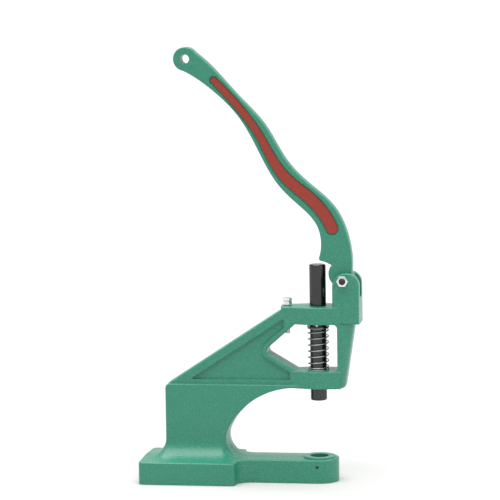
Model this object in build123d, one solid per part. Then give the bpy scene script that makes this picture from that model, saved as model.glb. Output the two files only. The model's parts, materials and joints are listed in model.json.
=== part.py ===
from build123d import *
import os
from math import acos, atan2, cos, radians, sin, sqrt, tan

# Bench hand press for setting eyelets, rivets and snap fasteners.
# Frame: +X points to the front (the nose of the base), +Y to the far side, +Z up.
# The origin is on the ram's axis, in the plane that the base rests on.

# ---------------------------------------------------------------- castings in general
DRAFT_DEG = 2.5            # mould draft, both ways from the parting plane y = 0
CAST_ROUND = 1.5           # rounding of the ordinary outer edges
COLUMN_ROUND = 1.0         # rounding of the column's edges
MACHINED_EDGE = 0.6        # break on turned and drilled edges

# ---------------------------------------------------------------- base
BLOCK_REAR = 177.5         # rear face of the block, behind the ram axis
BLOCK_FRONT = 80.0         # front face of the block, behind the ram axis
BLOCK_HALF_WIDTH = 39.5
BLOCK_CORNER = 4.5         # vertical corner radius
TONGUE_RADIUS = 19.5       # half width of the tongue and radius of its round nose
TONGUE_BLEND = 14.0        # concave radius between tongue and block, seen from above
BASE_RIDGE_Z = 24.2        # height of the base along the parting plane
FOOT_RADIUS = 20.0         # large fillet round the foot of the column

# ---------------------------------------------------------------- die seat in the nose
DIE_BOSS_Z = 25.0          # faced top of the boss
DIE_BORE_RADIUS = 9.4
DIE_BOSS_WALL = 6.85
DIE_BOSS_RADIUS = DIE_BORE_RADIUS + DIE_BOSS_WALL
DIE_BORE_DEPTH = 15.0
SET_SCREW_Z = 16.5         # height of the set screw's axis
SET_SCREW_RADIUS = 1.5
SET_SCREW_LENGTH = 8.0
SET_SCREW_SINK = 1.0       # how far its outer end lies below the casting's side
SET_SCREW_HEX = 1.5        # across flats of its socket
SET_SCREW_HEX_DEPTH = 1.6

# ---------------------------------------------------------------- column and throat
COLUMN_REAR = 153.8        # rear face, behind the ram axis
COLUMN_HALF_WIDTH = 15.3
COLUMN_TOP_Z = 98.6        # height of the step where the thinner arm begins
COLUMN_TOP_ROUND = 5.0     # rear top corner
THROAT_REAR = 96.4         # deepest line of the throat, behind the ram axis
THROAT_SPAN = 75.4         # half length of the throat's elliptic roof
THROAT_SPRING_Z = 22.0     # where the roof's curve begins
THROAT_TOP_Z = 94.6        # highest line of the throat

# ---------------------------------------------------------------- arm
ARM_HALF_WIDTH = 12.8
ARM_SLOPE_REAR = (-149.5, 99.6)     # lower end of the sloping top
ARM_SLOPE_FRONT = (-35.6, 173.5)    # upper end of the sloping top
POCKET_DEPTH = 2.8
POCKET_RIM = 9.2           # rib left along the sloping top
POCKET_SILL = 4.0          # rib left above the column's step
POCKET_WINDOW_RIM = 5.0    # rib left round the window
POCKET_UPPER_X = -32.7     # front end of the pocket above the window
POCKET_LOWER_X = -24.0     # front end of the pocket below the window
POCKET_ROUND = 1.0

# ---------------------------------------------------------------- window for the spring
WINDOW_REAR = (-52.6, 131.4)        # sharp rear corner before rounding
WINDOW_UPPER_X = -21.0     # where the rear corner's upper side meets the roof
WINDOW_LOWER_X = -20.0     # where its lower side meets the floor
WINDOW_FRONT_X = 20.9
WINDOW_ROUND = 4.0

# ---------------------------------------------------------------- ram
RAM_RADIUS = 8.25
RAM_BOTTOM_Z = 81.4
RAM_TOP_Z = 217.6
RAM_END_ROUND = 1.6
RAM_CLEARANCE = 0.05       # radial running clearance in the guides
RAM_THREAD_RADIUS = 2.5    # tapped hole for the upper die
RAM_THREAD_DEPTH = 18.0

# ---------------------------------------------------------------- ram guides and front post
GUIDE_WALL = 11.25         # iron round the ram
GUIDE_RADIUS = RAM_RADIUS + GUIDE_WALL
GUIDE_FLARE_X = -27.0      # where the guides' flanks run out on the arm
GUIDE_FRONT_X = 24.0       # where they run out on the post and the clevis
GUIDE_ROUND = 1.2          # rounding of the guides' rims
LOWER_GUIDE_Z = (94.7, 112.1)
UPPER_GUIDE_Z = (158.9, 176.2)
POST_HALF_WIDTH = 16.0
POST_FOOT_X = 27.6         # front of the post at its foot
POST_TOP_X = 37.6          # front of the post under the clevis
POST_ROUND = 11.0          # rounding of the post's two front edges
POST_FOOT_ROUND = 3.0      # rounding of its lower front edge

# ---------------------------------------------------------------- clevis and lever pivot
LEVER_THICKNESS = 13.2
LEVER_SIDE_GAP = 0.4       # between each side of the lever and its ear
EAR_THICKNESS = 8.9
CLEVIS_REAR_X = 16.3
CLEVIS_FRONT_X = 42.9
CLEVIS_STEP = 0.5          # underside of the clevis, above the window's roof
CLEVIS_TOP_Z = 210.0
CLEVIS_REAR_ROUND = 13.0   # rounding of the ears' top, beside the ram
CLEVIS_FRONT_ROUND = 12.0  # the same at the front
CLEVIS_SLOT = LEVER_THICKNESS + 2 * LEVER_SIDE_GAP
CLEVIS_HALF_WIDTH = CLEVIS_SLOT / 2 + EAR_THICKNESS
CLEVIS_SLOT_FLOOR_Z = 185.5
PIVOT_X = 27.0
PIVOT_Z = 202.7

# ---------------------------------------------------------------- cross pin, spring and washers
CROSS_PIN_RADIUS = 1.4
CROSS_PIN_STANDOUT = 2.05  # how far each end stands out of the ram
CROSS_PIN_LENGTH = 2 * (RAM_RADIUS + CROSS_PIN_STANDOUT)
CROSS_PIN_GAP = 0.25       # between the pin and the upper guide at rest
SPRING_WIRE = 1.3
SPRING_RAM_GAP = 1.25      # between the ram and the inside of the coil
SPRING_OUTER_RADIUS = RAM_RADIUS + SPRING_RAM_GAP + SPRING_WIRE
SPRING_TURNS = 6.75
SPRING_SEAT_GAP = 0.05
SPRING_WASHER_CLEARANCE = 0.35      # radial, round the ram
SPRING_WASHER_RIM = 0.4    # beyond the coil
SPRING_WASHER_INNER = RAM_RADIUS + SPRING_WASHER_CLEARANCE
SPRING_WASHER_OUTER = SPRING_OUTER_RADIUS + SPRING_WASHER_RIM
SPRING_WASHER_THICKNESS = 0.8

# ---------------------------------------------------------------- lever
LEVER_ROUND = 1.4          # rounding of the lever's outline
LEVER_HUB_RADIUS = 11.0    # hub about the pivot
LEVER_LOBE = (-1.8, 5.8)   # centre of the lobe beside the ram, from the pivot
LEVER_LOBE_RADIUS = 13.5
LEVER_HEEL = (8.0, 7.5)    # where the front edge meets the hub, from the pivot
LEVER_NOTCH = (-11.5, 14.2)         # inner end of the cam face, from the pivot
LEVER_CAM_MIDDLE = (-17.8, 17.4)    # middle of the cam face
LEVER_NOSE = (-25.4, 19.6)          # outer end of the cam face
LEVER_NOSE_ROUND = 2.2
LEVER_TIP = (-156.0, 219.0)         # centre of the tip eye, from the pivot
LEVER_TIP_RADIUS = 11.9
LEVER_TIP_HOLE = 4.5
LEVER_STRIP_DEPTH = 1.8    # recess in each side of the lever
LEVER_STRIP_FILL = 0.8     # coloured enamel in the recess
LEVER_STRIP_WALL = 1.3     # bare step between the recess wall and the enamel
STRIP_STATIONS = [         # middle line of the enamel, from the pivot, with its half width
    (-127.4, 197.8, 3.1), (-95.4, 161.9, 3.5), (-81.3, 141.2, 3.7), (-70.5, 120.5, 4.4),
    (-54.9, 99.3, 5.2), (-34.2, 81.9, 5.7), (-18.2, 64.1, 5.8), (-11.2, 51.2, 5.7)]
LEVER_BUSH_WALL = 2.0
LEVER_BUSH_CLEARANCE = 0.05

# ---------------------------------------------------------------- fasteners
PIVOT_BOLT_RADIUS = 3.0    # M6
LEVER_BUSH_OUTER = PIVOT_BOLT_RADIUS + LEVER_BUSH_WALL
PIVOT_HOLE_CLEARANCE = 0.1
PIVOT_HEX = PIVOT_BOLT_RADIUS * 10 / 3      # across flats, by the metric table
PIVOT_HEAD_HEIGHT = 4.0
PIVOT_NUT_HEIGHT = 5.0
PIVOT_WASHER_RADIUS = 2 * PIVOT_BOLT_RADIUS
PIVOT_WASHER_THICKNESS = 1.6
PIVOT_BOLT_STANDOUT = 1.0  # thread end beyond the nut
STOP_X = -30.4             # stop screw's axis
STOP_RADIUS = 2.5          # M5
STOP_CLEARANCE = 0.05
STOP_HEX = 8.0
STOP_HEAD_HEIGHT = 2.9
STOP_NUT_HEIGHT = 4.2
STOP_NUT_GAP = 0.2
STOP_TIP_Z = 148.2         # lower end of the stop screw
STOP_PAD_Z = 176.6         # pad on the arm that carries the lock nut
STOP_PAD_REAR_X = -36.4
HEX_CHAMFER = 0.5

XZ = Plane.XZ
PARTS_DIR = "parts"


def hex_prism(across_flats, height):
    """A hexagonal prism that stands on z = 0, with flats across Y."""
    return extrude(RegularPolygon(across_flats / 2, 6, major_radius=False), height)


def chamfered_hex(across_flats, height):
    """A hexagon with the turned chamfer of a bolt head on its upper corners."""
    corner = across_flats / sqrt(3)
    cone = Cone(corner + height - HEX_CHAMFER, corner - HEX_CHAMFER, height,
                align=(Align.CENTER, Align.CENTER, Align.MIN))
    return hex_prism(across_flats, height) & cone


def upright(radius, low_z, high_z, x=0.0, y=0.0):
    """A vertical cylinder between two heights."""
    return Pos(x, y, low_z) * Cylinder(radius, high_z - low_z, align=(Align.CENTER, Align.CENTER, Align.MIN))


def crosswise(radius, low_y, high_y, x, z):
    """A cylinder along Y between two values of y."""
    body = Cylinder(radius, high_y - low_y, align=(Align.CENTER, Align.CENTER, Align.MIN))
    return Pos(x, low_y, z) * Rot(-90, 0, 0) * body


def slab(face, half_width, draft=0.0):
    """A side profile carried both ways from the parting plane."""
    return extrude(XZ * face, half_width, both=True, taper=draft)


def side_block(face, side, floor_y, height):
    """A side profile raised outwards from a floor that lies at y = side * floor_y."""
    return extrude(Plane.XZ.offset(-side * floor_y) * face, height, dir=(0, side, 0))


def side_recess(face, side, half_width, depth):
    """The tool that cuts a side profile to this depth into a wall at y = side * half_width."""
    return side_block(face, side, half_width - depth, 2 * depth)


# ---------------------------------------------------------------- frame casting
def base_solid():
    length = BLOCK_REAR - BLOCK_FRONT
    block = Pos(-BLOCK_REAR + length / 2, 0) * Rectangle(length, 2 * BLOCK_HALF_WIDTH)
    tongue = Pos(-BLOCK_FRONT / 2 - 1, 0) * Rectangle(BLOCK_FRONT + 2, 2 * TONGUE_RADIUS)
    plan = block + tongue + Circle(TONGUE_RADIUS)
    inner = [v for v in plan.vertices() if abs(v.X + BLOCK_FRONT) < 0.1 and abs(v.Y) < TONGUE_RADIUS + 1]
    plan = fillet(inner, TONGUE_BLEND)
    outer = [v for v in plan.vertices() if abs(abs(v.Y) - BLOCK_HALF_WIDTH) < 0.1]
    plan = fillet(outer, BLOCK_CORNER)
    reach = BLOCK_HALF_WIDTH + 5
    edge_z = BASE_RIDGE_Z - reach * tan(radians(DRAFT_DEG))
    roof = Polygon((-reach, -1), (reach, -1), (reach, edge_z), (0, BASE_RIDGE_Z), (-reach, edge_z),
                   align=None)
    crown = extrude(Plane.YZ.offset(-BLOCK_REAR - 5) * roof, BLOCK_REAR + TONGUE_RADIUS + 10)
    return extrude(plan, BASE_RIDGE_Z) & crown


def column_face():
    sink_z = BASE_RIDGE_Z / 2
    arch_x = THROAT_SPAN - THROAT_REAR
    roof_end = -GUIDE_RADIUS / 4
    rear = Polyline((-THROAT_REAR, sink_z), (-COLUMN_REAR, sink_z), (-COLUMN_REAR, COLUMN_TOP_Z),
                    (roof_end, COLUMN_TOP_Z), (roof_end, THROAT_TOP_Z), (arch_x, THROAT_TOP_Z))
    arch = EllipticalCenterArc((arch_x, THROAT_SPRING_Z), THROAT_SPAN, THROAT_TOP_Z - THROAT_SPRING_Z,
                               start_angle=90, arc_size=90)
    front = Line((-THROAT_REAR, THROAT_SPRING_Z), (-THROAT_REAR, sink_z))
    face = make_face([rear, arch, front])
    corner = [v for v in face.vertices() if abs(v.X + COLUMN_REAR) < 0.1 and abs(v.Y - COLUMN_TOP_Z) < 0.1]
    return fillet(corner, COLUMN_TOP_ROUND)


def window_face():
    floor_z = LOWER_GUIDE_Z[1]
    roof_z = UPPER_GUIDE_Z[0]
    face = Polygon(WINDOW_REAR, (WINDOW_UPPER_X, roof_z), (WINDOW_FRONT_X, roof_z), (WINDOW_FRONT_X, floor_z),
                   (WINDOW_LOWER_X, floor_z), align=None)
    return fillet(face.vertices(), WINDOW_ROUND)


def arm_face():
    return Polygon((ARM_SLOPE_REAR[0], COLUMN_TOP_Z - 6), ARM_SLOPE_REAR, ARM_SLOPE_FRONT,
                   (STOP_PAD_REAR_X, STOP_PAD_Z), (0, STOP_PAD_Z), (0, COLUMN_TOP_Z - 3), align=None)


def pocket_face():
    run = ARM_SLOPE_FRONT[0] - ARM_SLOPE_REAR[0]
    rise = ARM_SLOPE_FRONT[1] - ARM_SLOPE_REAR[1]
    stretch = sqrt(run ** 2 + rise ** 2) / run
    sill_z = COLUMN_TOP_Z + POCKET_SILL
    start_x = ARM_SLOPE_REAR[0] + (sill_z + POCKET_RIM * stretch - ARM_SLOPE_REAR[1]) * run / rise
    end_z = ARM_SLOPE_REAR[1] + (POCKET_UPPER_X - ARM_SLOPE_REAR[0]) * rise / run - POCKET_RIM * stretch
    field = Polygon((start_x, sill_z), (POCKET_UPPER_X, end_z), (POCKET_UPPER_X, WINDOW_REAR[1]),
                    (POCKET_LOWER_X, WINDOW_REAR[1] - POCKET_RIM), (POCKET_LOWER_X, sill_z), align=None)
    face = field - offset(window_face(), POCKET_WINDOW_RIM)
    face = sorted(face.faces(), key=lambda f: f.area)[-1]
    ends = (start_x, POCKET_UPPER_X, POCKET_LOWER_X)
    corners = [v for v in face.vertices() if min(abs(v.X - x) for x in ends) < 0.1]
    return fillet(corners, POCKET_ROUND)


def rounded(body, radius, edges):
    """Round the given edges of a body, which all take one radius."""
    return fillet(edges, radius) if edges else body


def face_edges(body, half_width, low_x=-999.0, high_x=999.0, low_z=-999.0, high_z=999.0):
    """Edges that lie in the two side planes y = +-half_width, inside a window of x and z."""
    found = []
    for edge in body.edges():
        box = edge.bounding_box()
        flat = box.max.Y - box.min.Y < 0.01 and abs(abs(box.min.Y) - half_width) < 0.01
        middle = edge.center()
        if flat and low_x < middle.X < high_x and low_z < middle.Z < high_z:
            found.append(edge)
    return found


def level_edges(body, z, low_x=-999.0, high_x=999.0):
    """Edges that lie at one height, between two values of x."""
    found = []
    for edge in body.edges():
        box = edge.bounding_box()
        if box.max.Z - box.min.Z < 0.01 and abs(box.min.Z - z) < 0.01 and low_x < edge.center().X < high_x:
            found.append(edge)
    return found


def arm_solid():
    body = slab(arm_face() - window_face(), ARM_HALF_WIDTH, DRAFT_DEG)
    outline = face_edges(body, ARM_HALF_WIDTH, high_x=-GUIDE_RADIUS / 2, low_z=COLUMN_TOP_Z)
    body = rounded(body, CAST_ROUND, outline)
    for side in (-1, 1):
        body -= side_recess(pocket_face(), side, ARM_HALF_WIDTH, POCKET_DEPTH)
    return body


def guide_flank(end_x, half_width):
    """Plan of the flanks that leave the guide's round at a tangent and run out at the given end."""
    swing = acos(GUIDE_RADIUS / sqrt(end_x ** 2 + half_width ** 2))
    touch = atan2(half_width, end_x) + (swing if end_x > 0 else -swing)
    x = GUIDE_RADIUS * cos(touch)
    y = GUIDE_RADIUS * sin(touch)
    corners = [(end_x, -half_width), (x, -y), (0, 0), (x, y), (end_x, half_width)]
    return Polygon(corners[::-1] if end_x > 0 else corners, align=None)


def guide(low_z, high_z, front_half_width):
    """A boss round the ram that runs out on the arm behind it and on the post or clevis in front."""
    plan = Circle(GUIDE_RADIUS) + guide_flank(GUIDE_FLARE_X, ARM_HALF_WIDTH)
    plan += guide_flank(GUIDE_FRONT_X, front_half_width)
    body = extrude(Pos(0, 0, low_z) * plan, high_z - low_z, dir=(0, 0, 1))
    rims = level_edges(body, low_z, GUIDE_FLARE_X + 1, GUIDE_FRONT_X - 1)
    rims += level_edges(body, high_z, GUIDE_FLARE_X + 1, GUIDE_FRONT_X - 1)
    return rounded(body, GUIDE_ROUND, rims)


def ear_face():
    """Side profile of the clevis, with the part of the upper guide that it grows from."""
    low_z = UPPER_GUIDE_Z[0] + CLEVIS_STEP
    high_z = UPPER_GUIDE_Z[1]
    face = Polygon((0, low_z), (CLEVIS_FRONT_X, low_z), (CLEVIS_FRONT_X, CLEVIS_TOP_Z),
                   (CLEVIS_REAR_X, CLEVIS_TOP_Z), (CLEVIS_REAR_X, high_z), (0, high_z), align=None)
    for x, radius in ((CLEVIS_REAR_X, CLEVIS_REAR_ROUND), (CLEVIS_FRONT_X, CLEVIS_FRONT_ROUND)):
        corner = [v for v in face.vertices() if abs(v.X - x) < 0.1 and abs(v.Y - CLEVIS_TOP_Z) < 0.1]
        face = fillet(corner, radius)
    return face


def head_solid():
    low_z = LOWER_GUIDE_Z[0]
    join_z = UPPER_GUIDE_Z[0] + CLEVIS_STEP
    post = slab(Polygon((0, low_z), (POST_FOOT_X, low_z), (POST_TOP_X, join_z), (0, join_z), align=None),
                POST_HALF_WIDTH)
    fronts = [e for e in post.edges() if e.center().X > POST_FOOT_X and e.length > POST_HALF_WIDTH * 2.5]
    post = fillet(fronts, POST_ROUND)
    post = fillet([e for e in level_edges(post, low_z) if e.center().X > 1], POST_FOOT_ROUND)
    clevis = slab(ear_face(), CLEVIS_HALF_WIDTH)
    slot = Pos(CLEVIS_FRONT_X, 0, CLEVIS_SLOT_FLOOR_Z) * Box(4 * CLEVIS_FRONT_X, CLEVIS_SLOT, PIVOT_Z,
                                                            align=(Align.CENTER, Align.CENTER, Align.MIN))
    clevis -= slot
    ears = face_edges(clevis, CLEVIS_HALF_WIDTH, low_x=CLEVIS_REAR_X - 0.5)
    clevis = rounded(clevis, CAST_ROUND, ears)
    lower = guide(*LOWER_GUIDE_Z, POST_HALF_WIDTH) + post
    lower -= slab(window_face(), 2 * POST_HALF_WIDTH)
    return lower + clevis + guide(*UPPER_GUIDE_Z, CLEVIS_HALF_WIDTH)


def frame_solid():
    base = base_solid()
    rim = [e for e in base.edges() if e.bounding_box().min.Z > BASE_RIDGE_Z - 3
           and (abs(e.center().Y) > 1 or e.length < TONGUE_RADIUS)]
    base = rounded(base, CAST_ROUND, rim)
    column = slab(column_face(), COLUMN_HALF_WIDTH, DRAFT_DEG)
    outline = face_edges(column, COLUMN_HALF_WIDTH, low_z=BASE_RIDGE_Z, high_x=-GUIDE_RADIUS)
    column = rounded(column, COLUMN_ROUND, outline)
    body = base + column
    foot = [e for e in body.edges() if BASE_RIDGE_Z - 3 < e.center().Z < BASE_RIDGE_Z + 1
            and abs(e.center().Y) <= COLUMN_HALF_WIDTH + 1
            and -COLUMN_REAR - 2 < e.center().X < -THROAT_REAR + 2]
    body = rounded(body, FOOT_RADIUS, foot)
    body += arm_solid()
    body += head_solid()
    body += upright(DIE_BOSS_RADIUS, BASE_RIDGE_Z - 4, DIE_BOSS_Z)
    body -= upright(DIE_BORE_RADIUS, DIE_BOSS_Z - DIE_BORE_DEPTH, DIE_BOSS_Z + 5)
    body -= upright(RAM_RADIUS + RAM_CLEARANCE, LOWER_GUIDE_Z[0] - 5, UPPER_GUIDE_Z[1] + 5)
    body -= crosswise(SET_SCREW_RADIUS, -2 * TONGUE_RADIUS, 0, 0, SET_SCREW_Z)
    body -= upright(STOP_RADIUS + STOP_CLEARANCE, STOP_TIP_Z - 20, STOP_PAD_Z + 10, STOP_X)
    hole = PIVOT_BOLT_RADIUS + PIVOT_HOLE_CLEARANCE
    body -= crosswise(hole, -2 * CLEVIS_HALF_WIDTH, 2 * CLEVIS_HALF_WIDTH, PIVOT_X, PIVOT_Z)
    return body


# ---------------------------------------------------------------- ram group
def pin_z():
    """Height of the cross pin's axis at rest, just under the upper guide."""
    return UPPER_GUIDE_Z[0] - CROSS_PIN_GAP - CROSS_PIN_RADIUS


def ram():
    body = upright(RAM_RADIUS, RAM_BOTTOM_Z, RAM_TOP_Z)
    body = fillet(level_edges(body, RAM_BOTTOM_Z) + level_edges(body, RAM_TOP_Z), RAM_END_ROUND)
    body -= upright(RAM_THREAD_RADIUS, RAM_BOTTOM_Z - 1, RAM_BOTTOM_Z + RAM_THREAD_DEPTH)
    return body - crosswise(CROSS_PIN_RADIUS, -2 * RAM_RADIUS, 2 * RAM_RADIUS, 0, pin_z())


def ram_cross_pin():
    half = CROSS_PIN_LENGTH / 2
    pin = crosswise(CROSS_PIN_RADIUS, -half, half, 0, pin_z())
    return chamfer(pin.edges().filter_by(GeomType.CIRCLE), MACHINED_EDGE / 2)


def washer(inner, outer, low_z, thickness):
    return upright(outer, low_z, low_z + thickness) - upright(inner, low_z - 1, low_z + thickness + 1)


def spring_top_z():
    return pin_z() - CROSS_PIN_RADIUS - SPRING_WASHER_THICKNESS


def spring_washer_top():
    return washer(SPRING_WASHER_INNER, SPRING_WASHER_OUTER, spring_top_z(), SPRING_WASHER_THICKNESS)


def spring_washer_bottom():
    return washer(SPRING_WASHER_INNER, SPRING_WASHER_OUTER, LOWER_GUIDE_Z[1], SPRING_WASHER_THICKNESS)


def return_spring():
    low_z = LOWER_GUIDE_Z[1] + SPRING_WASHER_THICKNESS + SPRING_SEAT_GAP + SPRING_WIRE / 2
    high_z = spring_top_z() - SPRING_SEAT_GAP - SPRING_WIRE / 2
    height = high_z - low_z
    radius = SPRING_OUTER_RADIUS - SPRING_WIRE / 2
    path = Pos(0, 0, low_z) * Helix(height / SPRING_TURNS, height, radius)
    section = Plane(origin=path @ 0, z_dir=path % 0) * Circle(SPRING_WIRE / 2)
    return sweep(section, path)


# ---------------------------------------------------------------- lever group
def from_pivot(x, z):
    return (PIVOT_X + x, PIVOT_Z + z)


def lever_face():
    """Outline of the cranked lever, from the tip eye down to the hub. Points are counted from the pivot."""
    front = [(-148.3, 227.4), (-134, 215.5), (-104.5, 183.5), (-77, 153), (-57, 119.5), (-35.5, 96.5),
             (-9.5, 72.5), (4.5, 43), LEVER_HEEL]
    rear = [LEVER_NOSE, (-22.4, 36), (-26, 53), (-46, 75.5), (-63.5, 93), (-82, 124), (-103.5, 162),
            (-128, 187), (-146.5, 200.8), (-160.3, 208.4)]
    front_edge = Spline([from_pivot(*p) for p in front])
    heel = Polyline(from_pivot(*LEVER_HEEL), from_pivot(0, 0), from_pivot(*LEVER_NOTCH),
                    from_pivot(*LEVER_CAM_MIDDLE), from_pivot(*LEVER_NOSE))
    rear_edge = Spline([from_pivot(*p) for p in rear])
    end = Line(from_pivot(*rear[-1]), from_pivot(*front[0]))
    face = make_face([front_edge, heel, rear_edge, end])
    lobe = Pos(*from_pivot(*LEVER_LOBE)) * Circle(LEVER_LOBE_RADIUS)
    left = Pos(*from_pivot(-LEVER_LOBE_RADIUS, 0)) * Rectangle(2 * LEVER_LOBE_RADIUS, 4 * LEVER_LOBE_RADIUS)
    face += Pos(*from_pivot(*LEVER_TIP)) * Circle(LEVER_TIP_RADIUS)
    face += lobe & left
    face += Pos(*from_pivot(0, 0)) * Circle(LEVER_HUB_RADIUS)
    nose = Vector(*from_pivot(*LEVER_NOSE))
    corner = [v for v in face.vertices() if (Vector(v.X, v.Y) - nose).length < 0.1]
    return fillet(corner, LEVER_NOSE_ROUND)


def strip_face(margin):
    """The long recess in the lever's side, wider towards the hub. margin shrinks it all round."""
    sides = {1: [], -1: []}
    caps = []
    last = len(STRIP_STATIONS) - 1
    for i, (x, z, half) in enumerate(STRIP_STATIONS):
        ahead = STRIP_STATIONS[min(i + 1, last)]
        behind = STRIP_STATIONS[max(i - 1, 0)]
        along = Vector(ahead[0] - behind[0], ahead[1] - behind[1]).normalized()
        across = Vector(-along.Y, along.X)
        middle = Vector(*from_pivot(x, z))
        reach = half + LEVER_STRIP_WALL - margin
        for side in sides:
            sides[side].append(middle + across * (side * reach))
        if i in (0, last):
            caps.append(middle + along * (reach if i else -reach))
    upper = Spline(sides[1])
    lower = Spline(sides[-1])
    start = ThreePointArc(sides[1][0], caps[0], sides[-1][0])
    end = ThreePointArc(sides[1][-1], caps[1], sides[-1][-1])
    return make_face([start, upper, end, lower])


def lever():
    half = LEVER_THICKNESS / 2
    body = slab(lever_face(), half)
    body = rounded(body, LEVER_ROUND, face_edges(body, half))
    for side in (-1, 1):
        body -= side_recess(strip_face(0), side, half, LEVER_STRIP_DEPTH)
    tip_x, tip_z = from_pivot(*LEVER_TIP)
    body -= crosswise(LEVER_TIP_HOLE, -2 * half, 2 * half, tip_x, tip_z)
    return body - crosswise(LEVER_BUSH_OUTER, -2 * half, 2 * half, PIVOT_X, PIVOT_Z)


def lever_strip(side):
    floor_y = LEVER_THICKNESS / 2 - LEVER_STRIP_DEPTH
    return side_block(strip_face(LEVER_STRIP_WALL), side, floor_y, LEVER_STRIP_FILL)


def lever_bush():
    half = LEVER_THICKNESS / 2
    sleeve = crosswise(LEVER_BUSH_OUTER, -half, half, PIVOT_X, PIVOT_Z)
    return sleeve - crosswise(PIVOT_BOLT_RADIUS + LEVER_BUSH_CLEARANCE, -2 * half, 2 * half, PIVOT_X, PIVOT_Z)


# ---------------------------------------------------------------- fasteners
def pivot_bolt():
    head_y = CLEVIS_HALF_WIDTH + PIVOT_WASHER_THICKNESS
    end_y = -CLEVIS_HALF_WIDTH - PIVOT_NUT_HEIGHT - PIVOT_BOLT_STANDOUT
    shank = crosswise(PIVOT_BOLT_RADIUS, end_y, head_y, PIVOT_X, PIVOT_Z)
    tip = [e for e in shank.edges().filter_by(GeomType.CIRCLE) if e.center().Y < 0]
    shank = chamfer(tip, MACHINED_EDGE)
    head = Pos(PIVOT_X, head_y, PIVOT_Z) * Rot(-90, 0, 0) * chamfered_hex(PIVOT_HEX, PIVOT_HEAD_HEIGHT)
    return shank + head


def pivot_nut():
    turn = Pos(PIVOT_X, -CLEVIS_HALF_WIDTH, PIVOT_Z) * Rot(90, 0, 0)
    nut = turn * chamfered_hex(PIVOT_HEX, PIVOT_NUT_HEIGHT)
    return nut - crosswise(PIVOT_BOLT_RADIUS, -3 * CLEVIS_HALF_WIDTH, 0, PIVOT_X, PIVOT_Z)


def pivot_washer():
    low_y = CLEVIS_HALF_WIDTH
    ring = crosswise(PIVOT_WASHER_RADIUS, low_y, low_y + PIVOT_WASHER_THICKNESS, PIVOT_X, PIVOT_Z)
    return ring - crosswise(PIVOT_BOLT_RADIUS + PIVOT_HOLE_CLEARANCE, 0, 2 * low_y, PIVOT_X, PIVOT_Z)


def stop_bolt():
    head_z = STOP_PAD_Z + STOP_NUT_HEIGHT + STOP_NUT_GAP
    shank = upright(STOP_RADIUS, STOP_TIP_Z, head_z, STOP_X)
    shank = chamfer(level_edges(shank, STOP_TIP_Z), MACHINED_EDGE)
    return shank + Pos(STOP_X, 0, head_z) * chamfered_hex(STOP_HEX, STOP_HEAD_HEIGHT)


def stop_lock_nut():
    nut = Pos(STOP_X, 0, STOP_PAD_Z) * chamfered_hex(STOP_HEX, STOP_NUT_HEIGHT)
    high_z = STOP_PAD_Z + STOP_NUT_HEIGHT
    return nut - upright(STOP_RADIUS + STOP_CLEARANCE, STOP_PAD_Z - 1, high_z + 1, STOP_X)


def die_set_screw():
    outer_y = -TONGUE_RADIUS + SET_SCREW_SINK
    screw = crosswise(SET_SCREW_RADIUS, outer_y, outer_y + SET_SCREW_LENGTH, 0, SET_SCREW_Z)
    socket = Pos(0, outer_y, SET_SCREW_Z) * Rot(-90, 0, 0) * hex_prism(SET_SCREW_HEX, SET_SCREW_HEX_DEPTH)
    return screw - socket


PIECES = {
    "frame": frame_solid,
    "ram": ram,
    "ram_cross_pin": ram_cross_pin,
    "spring_washer_top": spring_washer_top,
    "spring_washer_bottom": spring_washer_bottom,
    "return_spring": return_spring,
    "lever": lever,
    "lever_bush": lever_bush,
    "lever_strip_near": lambda: lever_strip(-1),
    "lever_strip_far": lambda: lever_strip(1),
    "pivot_bolt": pivot_bolt,
    "pivot_nut": pivot_nut,
    "pivot_washer": pivot_washer,
    "stop_bolt": stop_bolt,
    "stop_lock_nut": stop_lock_nut,
    "die_set_screw": die_set_screw,
}

os.makedirs(PARTS_DIR, exist_ok=True)
for name, make in PIECES.items():
    export_step(make(), os.path.join(PARTS_DIR, name + ".step"))
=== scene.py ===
"""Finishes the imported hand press: enamel, steel and zinc, cut threads, a coiled spring and a pale floor."""

import json
import math

import bpy
from mathutils import Matrix, Vector


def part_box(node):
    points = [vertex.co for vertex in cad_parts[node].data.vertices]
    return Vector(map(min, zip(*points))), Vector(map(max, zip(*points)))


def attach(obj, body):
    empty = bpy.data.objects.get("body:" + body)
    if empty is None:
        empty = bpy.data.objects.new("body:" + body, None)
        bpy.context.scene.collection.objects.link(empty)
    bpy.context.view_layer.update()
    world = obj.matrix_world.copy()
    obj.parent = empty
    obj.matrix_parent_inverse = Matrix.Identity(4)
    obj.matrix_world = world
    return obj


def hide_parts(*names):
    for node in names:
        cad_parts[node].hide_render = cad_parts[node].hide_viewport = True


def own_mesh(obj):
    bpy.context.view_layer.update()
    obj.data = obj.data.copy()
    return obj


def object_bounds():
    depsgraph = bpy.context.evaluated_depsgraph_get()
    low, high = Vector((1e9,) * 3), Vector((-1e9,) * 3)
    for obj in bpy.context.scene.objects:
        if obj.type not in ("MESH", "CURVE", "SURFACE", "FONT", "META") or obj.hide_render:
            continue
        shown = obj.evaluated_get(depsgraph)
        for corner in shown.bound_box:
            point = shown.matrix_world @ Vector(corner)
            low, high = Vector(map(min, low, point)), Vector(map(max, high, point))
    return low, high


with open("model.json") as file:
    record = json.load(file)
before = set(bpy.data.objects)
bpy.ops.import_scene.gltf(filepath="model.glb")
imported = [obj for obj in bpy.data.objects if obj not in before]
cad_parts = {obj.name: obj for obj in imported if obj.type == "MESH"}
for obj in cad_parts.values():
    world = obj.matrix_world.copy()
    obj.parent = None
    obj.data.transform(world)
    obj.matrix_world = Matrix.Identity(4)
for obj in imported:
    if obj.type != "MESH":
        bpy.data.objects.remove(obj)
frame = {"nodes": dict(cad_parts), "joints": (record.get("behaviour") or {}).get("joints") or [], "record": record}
CAD_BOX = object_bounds()

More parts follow.
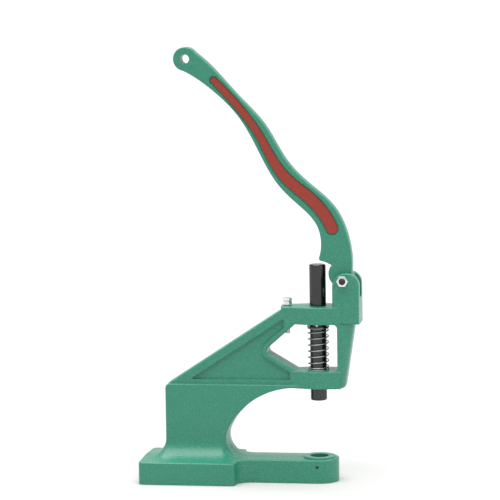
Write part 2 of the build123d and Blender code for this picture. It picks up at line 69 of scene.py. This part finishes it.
bl_info = {
    "name": "Bench hand press",
    "version": (1, 0, 0),
    "blender": (4, 5, 0),
    "location": "View3D > Sidebar > Press",
    "description": "Finishes a lever press for eyelets and snap fasteners",
    "category": "Add Mesh",
}

MM = 0.001
NODES = frame["nodes"]
JOINTS = {joint["name"]: joint for joint in frame["joints"]}
PIVOT = Vector(JOINTS["lever_pivot"]["pos_m"])

# How finely round shapes are divided
TURNED_STEPS = 40          # facets round a turned part
THREAD_STEPS = 20          # facets in each turn of a thread
WIRE_STEPS = 14            # facets round the spring's wire
COIL_STEPS = 40            # facets in each turn of the spring
MERGE = 0.002 * MM         # points closer than this become one

# The fasteners, whose radii are those of the CAD's bolts
PIVOT_RADIUS = 3 * MM      # M6 pivot bolt
PIVOT_THREAD = 14 * MM     # length of its thread
STOP_RADIUS = 2.5 * MM     # M5 stop screw
THREAD_DEPTH = 0.6         # of the pitch
TURN_HEIGHT = 0.999        # of the pitch: each turn of a thread ends a hair below the next
AXIS_GAP = 0.02 * MM       # keeps the inner edge of a thread's section off its axis
WASHER_CLEARANCE = 0.15 * MM
WASHER_EDGE = 0.25 * MM    # chamfer that stamping and tumbling leave

# The spring
END_CLEARANCE = 0.05 * MM  # between a ground end and its washer
END_RISE = 0.28            # of the wire: height of its middle where a ground end starts
EASE_TURNS = 0.35          # turns over which the closed end opens out

# The stage
AIM = Vector((-2.2 * MM, 12.5 * MM, 13.1 * MM))        # from the press's middle to the middle of the view
SENSOR_WIDTH = 36.0        # mm
FAR = 300                  # metres, past the floor's far edge
FLOOR_RADIUS = 80          # metres, so that its edge lies close to the horizon
FLOOR_CLEARANCE = 0.05 * MM
# Each lamp's share of the key's strength, and its spread, lean and turn in degrees
LAMPS = {"key": (1.0, 75, 8, -20), "side": (0.12, 60, 65, 75)}


# ---------------------------------------------------------------- colours and nodes
def linear(code):
    """An sRGB hex colour as the linear values that a shader takes."""
    parts = [int(code[i:i + 2], 16) / 255 for i in (0, 2, 4)]
    return tuple(p / 12.92 if p <= 0.04045 else ((p + 0.055) / 1.055) ** 2.4 for p in parts) + (1.0,)


def per_mm(size):
    """The scale that makes a texture's grain this many millimetres wide."""
    return 1 / (size * MM)


def add_node(tree, kind, inputs=None, **settings):
    """Add a node, set its settings and feed its inputs with values or with other nodes' outputs."""
    node = tree.nodes.new(kind)
    for name, value in settings.items():
        setattr(node, name, value)
    for name, value in (inputs or {}).items():
        socket = node.inputs[name]
        if isinstance(value, bpy.types.NodeSocket):
            tree.links.new(value, socket)
        else:
            socket.default_value = value
    return node


def new_material(name, shader_inputs):
    """A material with a Principled shader, and the tree, shader and place that its pattern is built on."""
    material = bpy.data.materials.new(name)
    material.use_nodes = True
    tree = material.node_tree
    tree.nodes.clear()
    shader = add_node(tree, "ShaderNodeBsdfPrincipled", shader_inputs)
    add_node(tree, "ShaderNodeOutputMaterial", {"Surface": shader.outputs["BSDF"]})
    place = add_node(tree, "ShaderNodeTexCoord").outputs["Object"]
    return material, tree, shader, place


def set_ramp(ramp, stops):
    """Give a colour ramp its stops, as places and linear colours."""
    elements = ramp.color_ramp.elements
    elements.remove(elements[1])
    elements[0].position, elements[0].color = stops[0]
    for position, colour in stops[1:]:
        elements.new(position).color = colour


def feed_shader(tree, shader, colour, roughness, bump):
    """Link a pattern's colour, roughness and relief to the shader."""
    tree.links.new(colour, shader.inputs["Base Color"])
    tree.links.new(roughness, shader.inputs["Roughness"])
    tree.links.new(bump, shader.inputs["Normal"])


# ---------------------------------------------------------------- materials
def hammer_enamel(name, paint, painted_glint_share=0.22, gloss=0.32):
    """Stoved hammer enamel on cast iron: a pebbled skin, softened over every edge, with glints painted on its
    flakes.

    The pebbles in tone and relief have about their real size. The flakes are really some 0.05 mm across, and
    are drawn about ten times coarser so that they show. Their glints are painted: a lighter tone mixed into the
    base colour, the same whatever the light.
    """
    pebble, relief, flake = 1.1, 1.4, 0.55        # mm across
    colours = bpy.context.scene.press_colours
    tones = ("dark", "body", "light", "painted_glint")
    dark, body, light, painted_glint = (getattr(colours, f"{paint}_{tone}") for tone in tones)
    coat = {"IOR": 1.5, "Coat Weight": 0.15, "Coat Roughness": 0.16}
    material, tree, shader, place = new_material(name, coat)
    grain = add_node(tree, "ShaderNodeTexNoise",
                     {"Vector": place, "Scale": per_mm(pebble), "Detail": 3.0, "Roughness": 0.75})
    mottle = add_node(tree, "ShaderNodeValToRGB", {"Fac": grain.outputs["Fac"]})
    set_ramp(mottle, [(0.34, dark), (0.50, body), (0.66, light)])
    # Painted glints: scattered flake cells get a lighter tone mixed into the base colour, whatever the light.
    flakes = add_node(tree, "ShaderNodeTexVoronoi", {"Vector": place, "Scale": per_mm(flake)})
    pick = add_node(tree, "ShaderNodeSeparateColor", {"Color": flakes.outputs["Color"]})
    painted_glint_mask = add_node(tree, "ShaderNodeMapRange",
                     {"Value": pick.outputs["Red"], "From Min": 0.88, "From Max": 1.0, "To Max": painted_glint_share})
    colour = add_node(tree, "ShaderNodeMixRGB",
                      {"Fac": painted_glint_mask.outputs["Result"], "Color1": mottle.outputs["Color"], "Color2": painted_glint})
    spread = add_node(tree, "ShaderNodeMapRange",
                      {"Value": pick.outputs["Green"], "To Min": gloss + 0.12, "To Max": gloss - 0.08})
    edges = add_node(tree, "ShaderNodeBevel", {"Radius": 0.8 * MM}, samples=6)
    skin = add_node(tree, "ShaderNodeTexNoise",
                    {"Vector": place, "Scale": per_mm(relief), "Detail": 3.0, "Roughness": 0.65})
    bump = add_node(tree, "ShaderNodeBump",
                    {"Height": skin.outputs["Fac"], "Strength": 0.55, "Distance": 0.4 * MM,
                     "Normal": edges.outputs["Normal"]})
    feed_shader(tree, shader, colour.outputs["Color"], spread.outputs["Result"], bump.outputs["Normal"])
    return material


def metal(name, dark, light, roughness, grain, stretch=(1, 1, 1)):
    """A bare or plated metal: two close tones, uneven gloss and fine marks, longer where stretch is low."""
    material, tree, shader, place = new_material(name, {"Metallic": 1.0})
    marks_place = add_node(tree, "ShaderNodeMapping", {"Vector": place, "Scale": stretch})
    marks = add_node(tree, "ShaderNodeTexNoise",
                     {"Vector": marks_place.outputs["Vector"], "Scale": per_mm(grain), "Detail": 4.0})
    tone = add_node(tree, "ShaderNodeValToRGB", {"Fac": marks.outputs["Fac"]})
    set_ramp(tone, [(0.35, linear(dark)), (0.65, linear(light))])
    gloss = add_node(tree, "ShaderNodeMapRange",
                     {"Value": marks.outputs["Fac"], "From Min": 0.3, "From Max": 0.7,
                      "To Min": roughness * 0.8, "To Max": roughness * 1.25})
    edges = add_node(tree, "ShaderNodeBevel", {"Radius": 0.25 * MM}, samples=4)
    bump = add_node(tree, "ShaderNodeBump",
                    {"Height": marks.outputs["Fac"], "Strength": 0.1, "Distance": 0.05 * MM,
                     "Normal": edges.outputs["Normal"]})
    feed_shader(tree, shader, tone.outputs["Color"], gloss.outputs["Result"], bump.outputs["Normal"])
    return material


# Every finish on the press, by the record's slot. The marks of grinding, drawing and turning are really a few
# hundredths of a millimetre wide, and are drawn 0.3 to 0.5 mm wide so that they show.
FINISHES = {
    # hammer enamel: pebbled green with many small painted glints
    "green_enamel": (hammer_enamel, "green_hammer_enamel", "green"),
    # brushed-in enamel: the same pebbling in a brick red, duller and with few painted glints
    "red_enamel": (hammer_enamel, "red_satin_enamel", "red", 0.08, 0.5),
    # oiled black oxide on ground bar: charcoal with soft reflections and level bands that ring the ram
    "black_steel": (metal, "black_oxide_steel", "404041", "4a4a4b", 0.2, 0.5, (0.2, 0.2, 2.0)),
    # drawn spring wire: grey and fairly bright, faintly mottled
    "spring_steel": (metal, "drawn_spring_steel", "8d8e8e", "b9baba", 0.28, 0.4),
    # turned steel: bright, with fine marks
    "bright_steel": (metal, "turned_bright_steel", "b4b5b6", "d4d5d5", 0.22, 0.3),
    # bright zinc plate: near white, with a slight cloudiness of its real size, 1.5 mm
    "zinc_steel": (metal, "bright_zinc_plate", "d6d8da", "f0f1f1", 0.24, 1.5),
    # turned bronze bush: warm brown gold
    "bronze": (metal, "turned_bronze", "8c6a3a", "a98350", 0.3, 0.4),
}


def finish_for(slot):
    """The material of one slot, made when it is first asked for."""
    make, name, *settings = FINISHES[slot]
    return bpy.data.materials.get(name) or make(name, *settings)


# ---------------------------------------------------------------- shaping helpers
def select_none():
    """Leave nothing selected and nothing active, so that an operator acts on its own piece alone."""
    bpy.ops.object.select_all(action="DESELECT")
    bpy.context.view_layer.objects.active = None


def take(piece):
    """Make one piece the selected and active one."""
    select_none()
    piece.select_set(True)
    bpy.context.view_layer.objects.active = piece


def settle(piece):
    """Put a piece's place into its mesh, so that its object sits at the origin, unturned and unscaled."""
    take(piece)
    bpy.ops.object.transform_apply(location=True, rotation=True, scale=True)


def apply_modifier(piece, name, kind, **settings):
    """Add a modifier, set it and apply it."""
    modifier = piece.modifiers.new(name, kind)
    for setting, value in settings.items():
        setattr(modifier, setting, value)
    take(piece)
    bpy.ops.object.modifier_apply(modifier=name)


def clean_skin(piece):
    """Join what coincides and turn every face outwards."""
    take(piece)
    bpy.ops.object.mode_set(mode="EDIT")
    bpy.ops.mesh.select_all(action="SELECT")
    bpy.ops.mesh.remove_doubles(threshold=MERGE)
    bpy.ops.mesh.normals_make_consistent(inside=False)
    bpy.ops.object.mode_set(mode="OBJECT")


def cut_flat(piece, height, keep_above):
    """Cut a piece level at a height of its mesh and close the cut."""
    take(piece)
    bpy.ops.object.mode_set(mode="EDIT")
    bpy.ops.mesh.select_all(action="SELECT")
    bpy.ops.mesh.bisect(plane_co=(0, 0, height), plane_no=(0, 0, 1), use_fill=True,
                        clear_inner=keep_above, clear_outer=not keep_above)
    bpy.ops.object.mode_set(mode="OBJECT")


def section_ring(name, outline):
    """A ring of edges on a section in the XZ plane, given as radii and heights."""
    select_none()
    bpy.ops.mesh.primitive_circle_add(vertices=len(outline), radius=MM)
    ring = bpy.context.object
    ring.name = name
    for vertex, (radius, height) in zip(ring.data.vertices, outline):
        vertex.co = (radius, 0, height)
    return ring


def turned(name, outline):
    """A solid of revolution about Z from its section, as a lathe would leave it."""
    blank = section_ring(name, outline)
    apply_modifier(blank, "turn", "SCREW", steps=TURNED_STEPS, render_steps=TURNED_STEPS,
                   use_merge_vertices=True, merge_threshold=MERGE)
    clean_skin(blank)
    return blank


def threaded(name, radius, pitch, low, high):
    """A rod about Z with a V thread of one turn to the pitch, reaching past low and high until it is cut."""
    core = radius - THREAD_DEPTH * pitch
    root = [(AXIS_GAP, 0), (core, 0)]
    ridge = [(core, pitch * 0.12), (radius, pitch * 0.44), (radius, pitch * 0.56), (core, pitch * 0.88)]
    end = [(core, pitch * TURN_HEIGHT), (AXIS_GAP, pitch * TURN_HEIGHT)]
    rod = section_ring(name, [(r, low - pitch + z) for r, z in root + ridge + end])
    apply_modifier(rod, "thread", "SCREW", steps=THREAD_STEPS, render_steps=THREAD_STEPS,
                   screw_offset=pitch, iterations=math.ceil((high - low) / pitch) + 2)
    return rod


def hex_blank(name, across_flats, low, high):
    """A length of hexagon bar about Z."""
    select_none()
    bpy.ops.mesh.primitive_cylinder_add(vertices=6, radius=across_flats / math.sqrt(3), depth=high - low,
                                        location=(0, 0, (low + high) / 2), rotation=(0, 0, math.radians(30)))
    bar = bpy.context.object
    bar.name = name
    settle(bar)
    return bar


def hexagon(name, across_flats, bore, low, high, chamfer_low=True, chamfer_high=True, dimple=0.0):
    """A nut or bolt head: hexagon bar turned down at its corners, with a bore, or a dimple in its top."""
    corner = across_flats / math.sqrt(3)
    chamfer = (corner - across_flats / 2) * 0.9        # its height
    chamfered, square = corner - 1.7 * chamfer, corner + chamfer
    foot = chamfered if chamfer_low else square
    top = chamfered if chamfer_high else square
    side = corner + 0.1 * chamfer
    outside = [(foot, low), (side, low + chamfer), (side, high - chamfer), (top, high)]
    if bore:
        lead = 0.05 * across_flats        # chamfer at each end of the bore
        inside = [(bore + lead, high), (bore, high - lead), (bore, low + lead)]
        outline = [(bore + lead, low)] + outside + inside
    else:
        outline = [(0, low)] + outside + [(dimple, high), (0, high - dimple * 0.5)]
    blank = turned(name + "_blank", outline)
    bar = hex_blank(name, across_flats, low - MM, high + MM)
    apply_modifier(bar, "turn_down", "BOOLEAN", operation="INTERSECT", object=blank, solver="EXACT")
    bpy.data.objects.remove(blank)
    return bar


def join(name, pieces):
    """Join several meshes into one piece."""
    select_none()
    for piece in pieces:
        piece.select_set(True)
    bpy.context.view_layer.objects.active = pieces[0]
    bpy.ops.object.join()
    joined = bpy.context.object
    joined.name = name
    return joined


def finish_piece(piece, slot, body, node, smooth=35):
    """Shade a piece, give it its material and its body, and let it stand for its CAD node."""
    take(piece)
    bpy.ops.object.shade_smooth_by_angle(angle=math.radians(smooth))
    piece.data.materials.clear()
    piece.data.materials.append(finish_for(slot))
    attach(piece, body)
    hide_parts(node)


def lay_on_pivot(piece, y):
    """Turn a piece made about Z so that it points along -Y, and put its foot at y on the lever's axis."""
    piece.matrix_world = Matrix.Translation((PIVOT.x, y, PIVOT.z)) @ Matrix.Rotation(math.radians(90), 4, "X")
    settle(piece)


def shift_x(piece, x):
    """Move a piece made about Z to its place along X."""
    piece.location.x = x
    settle(piece)


# ---------------------------------------------------------------- properties
def length_property(name, description, default, low, high):
    """A length that a user can change."""
    return bpy.props.FloatProperty(name=name, description=description, default=default, min=low, max=high,
                                   unit="LENGTH")


def colour_property(name, description, code):
    """A colour that a user can change."""
    return bpy.props.FloatVectorProperty(name=name, description=description, size=4, subtype="COLOR",
                                         default=linear(code), min=0.0, max=1.0)


class PressSizes(bpy.types.PropertyGroup):
    """Sizes of the spring and the threads."""

    wire: length_property("Spring wire", "Thickness of the return spring's wire", 1.3 * MM, 0.5 * MM, 3 * MM)
    closed_turns: bpy.props.FloatProperty(
        name="Closed turns", description="Turns at each end of the spring that lie on each other",
        default=0.9, min=0.0, max=2.0)
    open_turns: bpy.props.FloatProperty(
        name="Open turns", description="Turns of the spring that stand apart",
        default=6.4, min=3.0, max=12.0)
    pivot_pitch: length_property(
        "Pivot thread", "Pitch of the pivot bolt's thread", 1.0 * MM, 0.5 * MM, 2 * MM)
    stop_pitch: length_property(
        "Stop thread", "Pitch of the stop screw's thread", 0.8 * MM, 0.4 * MM, 2 * MM)


class PressColours(bpy.types.PropertyGroup):
    """Tones of the two enamels, and the light tones of their painted glints."""

    green_dark: colour_property("Green, dark", "Darker pebbles of the green enamel", "20775f")
    green_body: colour_property("Green", "Most of the green enamel", "278268")
    green_light: colour_property("Green, light", "Lighter pebbles of the green enamel", "328f75")
    # A painted glint: a light tone that the green flakes show whatever the light.
    green_painted_glint: colour_property("Green, glint", "Flakes in the green enamel", "a0d9bf")
    red_dark: colour_property("Red, dark", "Darker pebbles of the red enamel", "89230f")
    red_body: colour_property("Red", "Most of the red enamel", "952914")
    red_light: colour_property("Red, light", "Lighter pebbles of the red enamel", "a0321d")
    # A painted glint: a light tone that the red flakes show whatever the light.
    red_painted_glint: colour_property("Red, glint", "Flakes in the red enamel", "c07a6a")


class PressStage(bpy.types.PropertyGroup):
    """Where the press is seen from and how it is lit."""

    azimuth: bpy.props.FloatProperty(
        name="Azimuth", description="Turn of the camera round the press",
        default=math.radians(9.4), subtype="ANGLE")
    pitch: bpy.props.FloatProperty(
        name="Pitch", description="How far the camera looks down",
        default=math.radians(6.57), subtype="ANGLE")
    roll: bpy.props.FloatProperty(
        name="Roll", description="Lean of the camera to its side",
        default=math.radians(-0.88), subtype="ANGLE")
    distance: bpy.props.FloatProperty(
        name="Distance", description="From the camera to the middle of its view",
        default=2.5, min=0.5, unit="LENGTH")
    lens: bpy.props.FloatProperty(
        name="Lens", description="Focal length in millimetres", default=180.0, min=20.0)
    floor_colour: colour_property("Floor", "Colour of the floor", "cfcfce")
    sky: bpy.props.FloatProperty(
        name="Sky", description="Strength of the light from all round", default=0.34, min=0.0)
    mirrored: bpy.props.FloatProperty(
        name="Mirrored sky", description="Strength of the sky as glossy surfaces mirror it",
        default=0.75, min=0.0)
    key: bpy.props.FloatProperty(
        name="Key", description="Strength of the soft light from above", default=4.4, min=0.0)


# ---------------------------------------------------------------- operators
class PressFinishParts(bpy.types.Operator):
    """Give every part of the press the finish of its slot"""

    bl_idname = "press.finish_parts"
    bl_label = "Finish the parts"

    def execute(self, context):
        for part in frame["record"]["subparts"]:
            node = NODES[part["node"]]
            node.data.materials.clear()
            node.data.materials.append(finish_for(part["material_slot"]))
        return {"FINISHED"}


class PressAddSpring(bpy.types.Operator):
    """Wind the return spring with closed, ground ends round the ram"""

    bl_idname = "press.add_spring"
    bl_label = "Add the spring"

    def execute(self, context):
        sizes = context.scene.press_sizes
        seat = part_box("spring_washer_bottom")[1].z
        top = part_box("spring_washer_top")[0].z
        wire_radius = sizes.wire / 2
        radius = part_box("return_spring")[1].x - wire_radius
        turns = 2 * sizes.closed_turns + sizes.open_turns
        steps = round(turns * COIL_STEPS)
        angles = [math.tau * i / WIRE_STEPS for i in range(WIRE_STEPS)]
        outline = [(radius + wire_radius * math.cos(a), wire_radius * math.sin(a)) for a in angles]
        coil = section_ring("return_spring_coil", outline)
        apply_modifier(coil, "wind", "SCREW", angle=math.tau * turns, screw_offset=0.0,
                       steps=steps, render_steps=steps)
        heights = self.ring_heights(steps, sizes, top - seat)
        for index, vertex in enumerate(coil.data.vertices):
            vertex.co.z += seat + heights[index // WIRE_STEPS]
        cut_flat(coil, seat + END_CLEARANCE, keep_above=True)
        cut_flat(coil, top - END_CLEARANCE, keep_above=False)
        clean_skin(coil)
        finish_piece(coil, "spring_steel", "frame", "return_spring", smooth=60)
        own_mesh(coil)
        return {"FINISHED"}

    def ring_heights(self, steps, sizes, span):
        """Height of the wire's middle at each step: turns that touch at the ends, an even pitch between."""
        shares = []
        for step in range(steps):
            from_end = min(step, steps - 1 - step) / COIL_STEPS - sizes.closed_turns
            ease = min(max(from_end / EASE_TURNS + 0.5, 0), 1)
            shares.append(ease * ease * (3 - 2 * ease))
        closed = sizes.wire / COIL_STEPS
        start = sizes.wire * END_RISE
        climb = span - 2 * start - closed * sum(1 - share for share in shares)
        heights = [start]
        for share in shares:
            heights.append(heights[-1] + closed * (1 - share) + climb * share / sum(shares))
        return heights


class PressAddPivot(bpy.types.Operator):
    """Make the lever's pivot: a bolt with a cut thread, its nut and its washer"""

    bl_idname = "press.add_pivot"
    bl_label = "Add the pivot"

    def execute(self, context):
        bolt, nut, washer = (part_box(node) for node in ("pivot_bolt", "pivot_nut", "pivot_washer"))
        across = nut[1].z - nut[0].z
        self.add_bolt(bolt, bolt[1].y - washer[1].y, across, context.scene.press_sizes.pivot_pitch)
        self.add_nut(nut, across)
        self.add_washer(washer)
        return {"FINISHED"}

    def add_bolt(self, box, head, across, pitch):
        """The bolt, made head down about Z: head, plain shank, thread and a turned end."""
        low, high = box
        radius, reach = PIVOT_RADIUS, high.y - low.y
        thread_start, thread_end = reach - PIVOT_THREAD, reach - 0.6 * MM
        rod = threaded("pivot_bolt_thread", radius, pitch, thread_start, thread_end)
        cut_flat(rod, thread_start, keep_above=True)
        cut_flat(rod, thread_end, keep_above=False)
        root = radius - 0.62 * pitch                       # just inside the thread's root
        chamfer, tip = radius * 0.93, radius * 0.80        # radii where the end's chamfer starts and stops
        centre, centre_depth = radius * 0.38, 0.7 * MM     # the centre hole that the lathe needs
        end = turned("pivot_bolt_end", [
            (0, thread_end - MM), (root, thread_end - MM), (chamfer, thread_end),
            (tip, reach), (centre, reach), (0, reach - centre_depth)])
        shank_end = thread_start + 0.2 * MM
        shank = turned("pivot_bolt_shank", [
            (0, head * 0.5), (radius, head * 0.5), (radius, thread_start - 0.3 * MM),
            (radius - 0.5 * pitch, shank_end), (0, shank_end)])
        cap = hexagon("pivot_bolt_head", across, 0, 0, head, chamfer_high=False)
        bolt = join("pivot_bolt_threaded", [cap, shank, rod, end])
        lay_on_pivot(bolt, high.y)
        finish_piece(bolt, "black_steel", "frame", "pivot_bolt")

    def add_nut(self, box, across):
        """The nut on the near side, with a bore that just bites the thread's crests."""
        low, high = box
        nut = hexagon("pivot_nut_chamfered", across, PIVOT_RADIUS * 0.97, 0, high.y - low.y)
        lay_on_pivot(nut, high.y)
        finish_piece(nut, "zinc_steel", "frame", "pivot_nut")

    def add_washer(self, box):
        """The stamped washer under the bolt's head."""
        low, high = box
        thick, rim = high.y - low.y, (high.z - low.z) / 2
        bore, edge = PIVOT_RADIUS + WASHER_CLEARANCE, WASHER_EDGE
        washer = turned("pivot_washer_stamped", [
            (bore, 0), (rim - edge, 0), (rim, edge), (rim, thick - edge),
            (rim - edge, thick), (bore + edge, thick), (bore, thick - edge)])
        lay_on_pivot(washer, high.y)
        finish_piece(washer, "zinc_steel", "frame", "pivot_washer")


class PressAddStop(bpy.types.Operator):
    """Make the lever's stop: a hexagon screw with a cut thread, and its lock nut"""

    bl_idname = "press.add_stop"
    bl_label = "Add the stop"

    def execute(self, context):
        screw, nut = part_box("stop_bolt"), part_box("stop_lock_nut")
        across = screw[1].y - screw[0].y
        x = (screw[0].x + screw[1].x) / 2
        self.add_screw(screw, nut[1].z + 0.2 * MM, across, x, context.scene.press_sizes.stop_pitch)
        self.add_nut(nut, across, x)
        return {"FINISHED"}

    def add_screw(self, box, head_low, across, x, pitch):
        """The screw: a dimpled head, its thread and a turned tip."""
        low, high = box
        radius, chamfer = STOP_RADIUS, 0.4 * MM
        rod = threaded("stop_screw_thread", radius, pitch, low.z, head_low)
        cut_flat(rod, low.z + chamfer, keep_above=True)
        cut_flat(rod, head_low + 0.5 * MM, keep_above=False)
        tip_top = low.z + 1.2 * MM                         # inside the thread
        face, widest, root = radius * 0.72, radius * 0.90, radius * 0.76
        tip = turned("stop_screw_tip", [
            (0, low.z), (face, low.z), (widest, low.z + chamfer), (root, tip_top), (0, tip_top)])
        cap = hexagon("stop_screw_head", across, 0, head_low, high.z, chamfer_low=False, dimple=radius * 0.9)
        screw = join("stop_screw_threaded", [cap, rod, tip])
        shift_x(screw, x)
        finish_piece(screw, "zinc_steel", "stop_screw", "stop_bolt")

    def add_nut(self, box, across, x):
        """The lock nut, with a bore just clear of the thread's crests."""
        low, high = box
        nut = hexagon("stop_lock_nut_chamfered", across, STOP_RADIUS * 1.02, low.z, high.z)
        shift_x(nut, x)
        finish_piece(nut, "zinc_steel", "frame", "stop_lock_nut")


class PressSetStage(bpy.types.Operator):
    """Lay the pale floor, light it softly from above and set the camera"""

    bl_idname = "press.set_stage"
    bl_label = "Set the stage"

    def execute(self, context):
        stage = context.scene.press_stage
        self.lay_floor(stage)
        self.light(context.scene, stage)
        self.set_camera(context.scene, stage)
        context.scene.view_settings.view_transform = "Standard"
        return {"FINISHED"}

    def lay_floor(self, stage):
        """A matt white board that runs on to the horizon."""
        select_none()
        bpy.ops.mesh.primitive_circle_add(vertices=96, radius=FLOOR_RADIUS, fill_type="NGON",
                                          location=(0, 0, -FLOOR_CLEARANCE))
        floor = bpy.context.object
        floor.name = "floor"
        board = {"Base Color": stage.floor_colour, "Roughness": 0.85, "Specular IOR Level": 0.15}
        floor.data.materials.append(new_material("matt_white_board", board)[0])
        settle(floor)

    def light(self, scene, stage):
        """A white sky, one broad light from above and a weaker one from the right.

        The sky is white behind the press, dimmer in its glossy reflections and weakest as light.
        """
        world = bpy.data.worlds.new("studio")
        scene.world = world
        world.use_nodes = True
        tree = world.node_tree
        tree.nodes.clear()
        rays = add_node(tree, "ShaderNodeLightPath").outputs
        mirrored = add_node(tree, "ShaderNodeMath", {0: rays["Is Glossy Ray"], 1: stage.mirrored},
                            operation="MULTIPLY")
        seen = add_node(tree, "ShaderNodeMath", {0: rays["Is Camera Ray"], 1: mirrored.outputs["Value"]},
                        operation="MAXIMUM")
        strength = add_node(tree, "ShaderNodeMath", {0: seen.outputs["Value"], 1: stage.sky},
                            operation="MAXIMUM")
        sky = add_node(tree, "ShaderNodeBackground",
                       {"Color": linear("ffffff"), "Strength": strength.outputs["Value"]})
        add_node(tree, "ShaderNodeOutputWorld", {"Surface": sky.outputs["Background"]})
        for name, (share, spread, lean, turn) in LAMPS.items():
            select_none()
            bpy.ops.object.light_add(type="SUN", rotation=(math.radians(lean), 0, math.radians(turn)))
            lamp = bpy.context.object
            lamp.name = name
            lamp.data.energy = stage.key * share
            lamp.data.angle = math.radians(spread)

    def set_camera(self, scene, stage):
        """A long lens a little to the right of the press and just above it."""
        low, high = CAD_BOX
        target = (low + high) / 2 + AIM
        turn = (Matrix.Rotation(stage.azimuth, 4, "Z") @ Matrix.Rotation(math.pi / 2 - stage.pitch, 4, "X")
                @ Matrix.Rotation(stage.roll, 4, "Z"))
        back = turn.to_3x3() @ Vector((0, 0, stage.distance))
        select_none()
        bpy.ops.object.camera_add()
        camera = bpy.context.object
        camera.matrix_world = Matrix.Translation(target + back) @ turn
        camera.data.lens = stage.lens
        camera.data.sensor_width = SENSOR_WIDTH
        camera.data.clip_end = FAR
        scene.camera = camera


class PressPanel(bpy.types.Panel):
    """Lists the press's sizes, colours and stage, and the steps that finish it"""

    bl_idname = "VIEW3D_PT_press"
    bl_label = "Hand press"
    bl_space_type = "VIEW_3D"
    bl_region_type = "UI"
    bl_category = "Press"

    def draw(self, context):
        scene = context.scene
        for group in (scene.press_sizes, scene.press_colours, scene.press_stage):
            for name in group.__annotations__:
                self.layout.prop(group, name)
        for step in STEPS:
            self.layout.operator(step.bl_idname)


STEPS = (PressFinishParts, PressAddSpring, PressAddPivot, PressAddStop, PressSetStage)
CLASSES = (PressSizes, PressColours, PressStage) + STEPS + (PressPanel,)


def register():
    for item in CLASSES:
        bpy.utils.register_class(item)
    bpy.types.Scene.press_sizes = bpy.props.PointerProperty(type=PressSizes)
    bpy.types.Scene.press_colours = bpy.props.PointerProperty(type=PressColours)
    bpy.types.Scene.press_stage = bpy.props.PointerProperty(type=PressStage)


def unregister():
    del bpy.types.Scene.press_stage
    del bpy.types.Scene.press_colours
    del bpy.types.Scene.press_sizes
    for item in reversed(CLASSES):
        bpy.utils.unregister_class(item)


def main():
    register()
    bpy.ops.press.finish_parts()
    bpy.ops.press.add_spring()
    bpy.ops.press.add_pivot()
    bpy.ops.press.add_stop()
    bpy.ops.press.set_stage()


if __name__ == "__main__":
    main()
